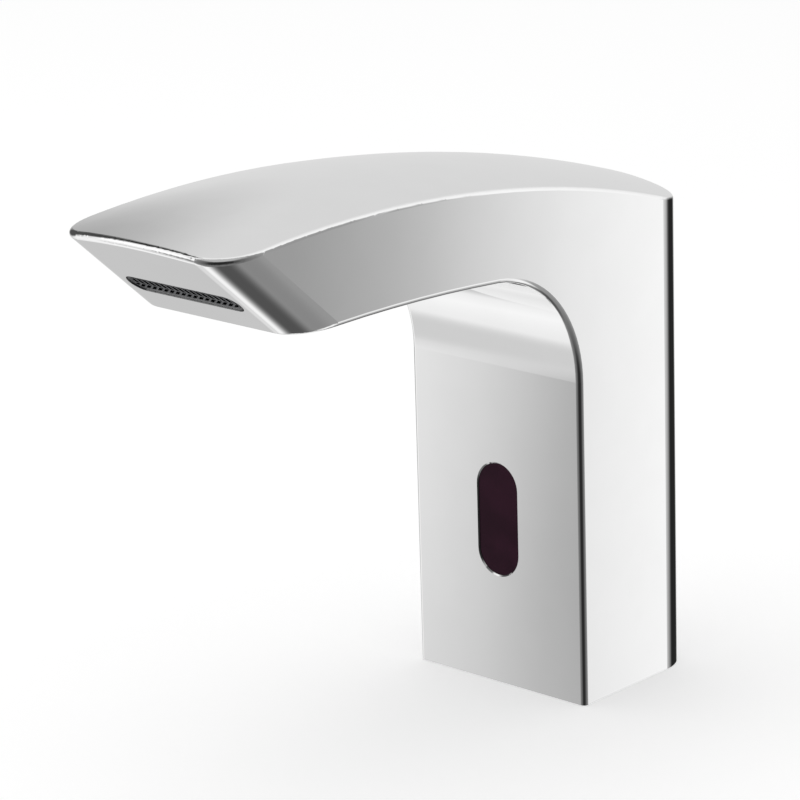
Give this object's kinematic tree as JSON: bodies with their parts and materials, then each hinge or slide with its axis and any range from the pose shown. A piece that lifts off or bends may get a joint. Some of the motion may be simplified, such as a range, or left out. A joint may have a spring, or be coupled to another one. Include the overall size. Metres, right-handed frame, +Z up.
{
  "type": "sensor tap",
  "caption": "Tall deck-mounted sensor tap in polished chrome: a square column with an infrared window, and a curved spout with a slanted slot outlet.",
  "frame": {"origin": "middle of the foot's flat underside, on the worktop", "axes": "+Z up; the spout reaches towards -Y, so -Y is the front; +X is the tap's right-hand side seen from behind"},
  "size_m": [0.05, 0.1506, 0.1311],
  "materials": {
    "chrome_casting": "polished",
    "black_rubber": "matte",
    "plate_brass": "machined",
    "steel_screw": "satin",
    "smoked_window": "glossy",
    "white_acetal": "satin",
    "grey_acetal": "satin",
    "stainless_mesh": "satin",
    "stainless_tube": "satin",
    "magnetic_steel": "satin",
    "spring_steel": "satin",
    "enamelled_copper": "glossy",
    "zinc_sheet": "satin",
    "ferrite": "matte",
    "plated_nut": "satin",
    "black_moulding": "satin",
    "grey_moulding": "satin",
    "green_board": "satin",
    "clear_lens": "glossy",
    "dark_lens": "glossy",
    "red_lamp": "glossy",
    "black_chip": "satin",
    "foil_capacitor": "satin",
    "cream_socket": "satin",
    "battery_sleeve": "satin",
    "nickel_contact": "satin",
    "tube_polyethylene": "satin",
    "red_lead": "satin",
    "black_lead": "satin"
  },
  "bodies": {
    "tap_body": {"body_shell": "chrome_casting", "base_seal": "black_rubber", "window_gasket": "black_rubber", "outlet_gasket": "black_rubber", "inlet_seal": "black_rubber", "tube_seal": "black_rubber", "base_plate": "plate_brass", "lock_screw": "steel_screw", "valve_screws": "steel_screw", "frame_screws": "steel_screw", "sensor_screws": "steel_screw", "sensor_window": "smoked_window", "valve_body": "white_acetal", "valve_bonnet": "white_acetal", "coil_bobbin": "white_acetal", "outlet_nozzle": "grey_acetal", "outlet_strainer": "stainless_mesh", "inlet_filter": "stainless_mesh", "core_tube": "stainless_tube", "fixed_core": "magnetic_steel", "plunger_spring": "spring_steel", "coil_winding": "enamelled_copper", "coil_yoke": "zinc_sheet", "latch_magnet": "ferrite", "coil_nut": "plated_nut", "sensor_housing": "black_moulding", "inner_frame": "black_moulding", "battery_cradle": "grey_moulding", "sensor_board": "green_board", "infrared_emitter": "clear_lens", "infrared_receiver": "dark_lens", "status_lamp": "red_lamp", "control_chip": "black_chip", "board_capacitor": "foil_capacitor", "board_sockets": "cream_socket", "battery_block": "battery_sleeve", "battery_contacts": "nickel_contact", "water_tube": "tube_polyethylene", "battery_lead": "red_lead", "coil_lead": "black_lead"},
    "plunger": {"solenoid_plunger": "magnetic_steel", "plunger_seal": "black_rubber"},
    "diaphragm": {"diaphragm_plate": "white_acetal", "valve_diaphragm": "black_rubber"}
  },
  "joints": [
    {"name": "plunger_slide", "type": "slide", "parent": "tap_body", "child": "plunger", "axis": [0, 0, 1], "range_m": [0, 0.002], "stiffness_N_per_m": 250, "springref_m": -0.004, "deforming": ["plunger_spring"]},
    {"name": "diaphragm_lift", "type": "slide", "parent": "tap_body", "child": "diaphragm", "axis": [0, 0, 1], "range_m": [0, 0.0016], "deforming": ["valve_diaphragm"]}
  ],
  "couplings": [
    {"joint": "diaphragm_lift", "follows": "plunger_slide", "ratio": 0.8}
  ]
}
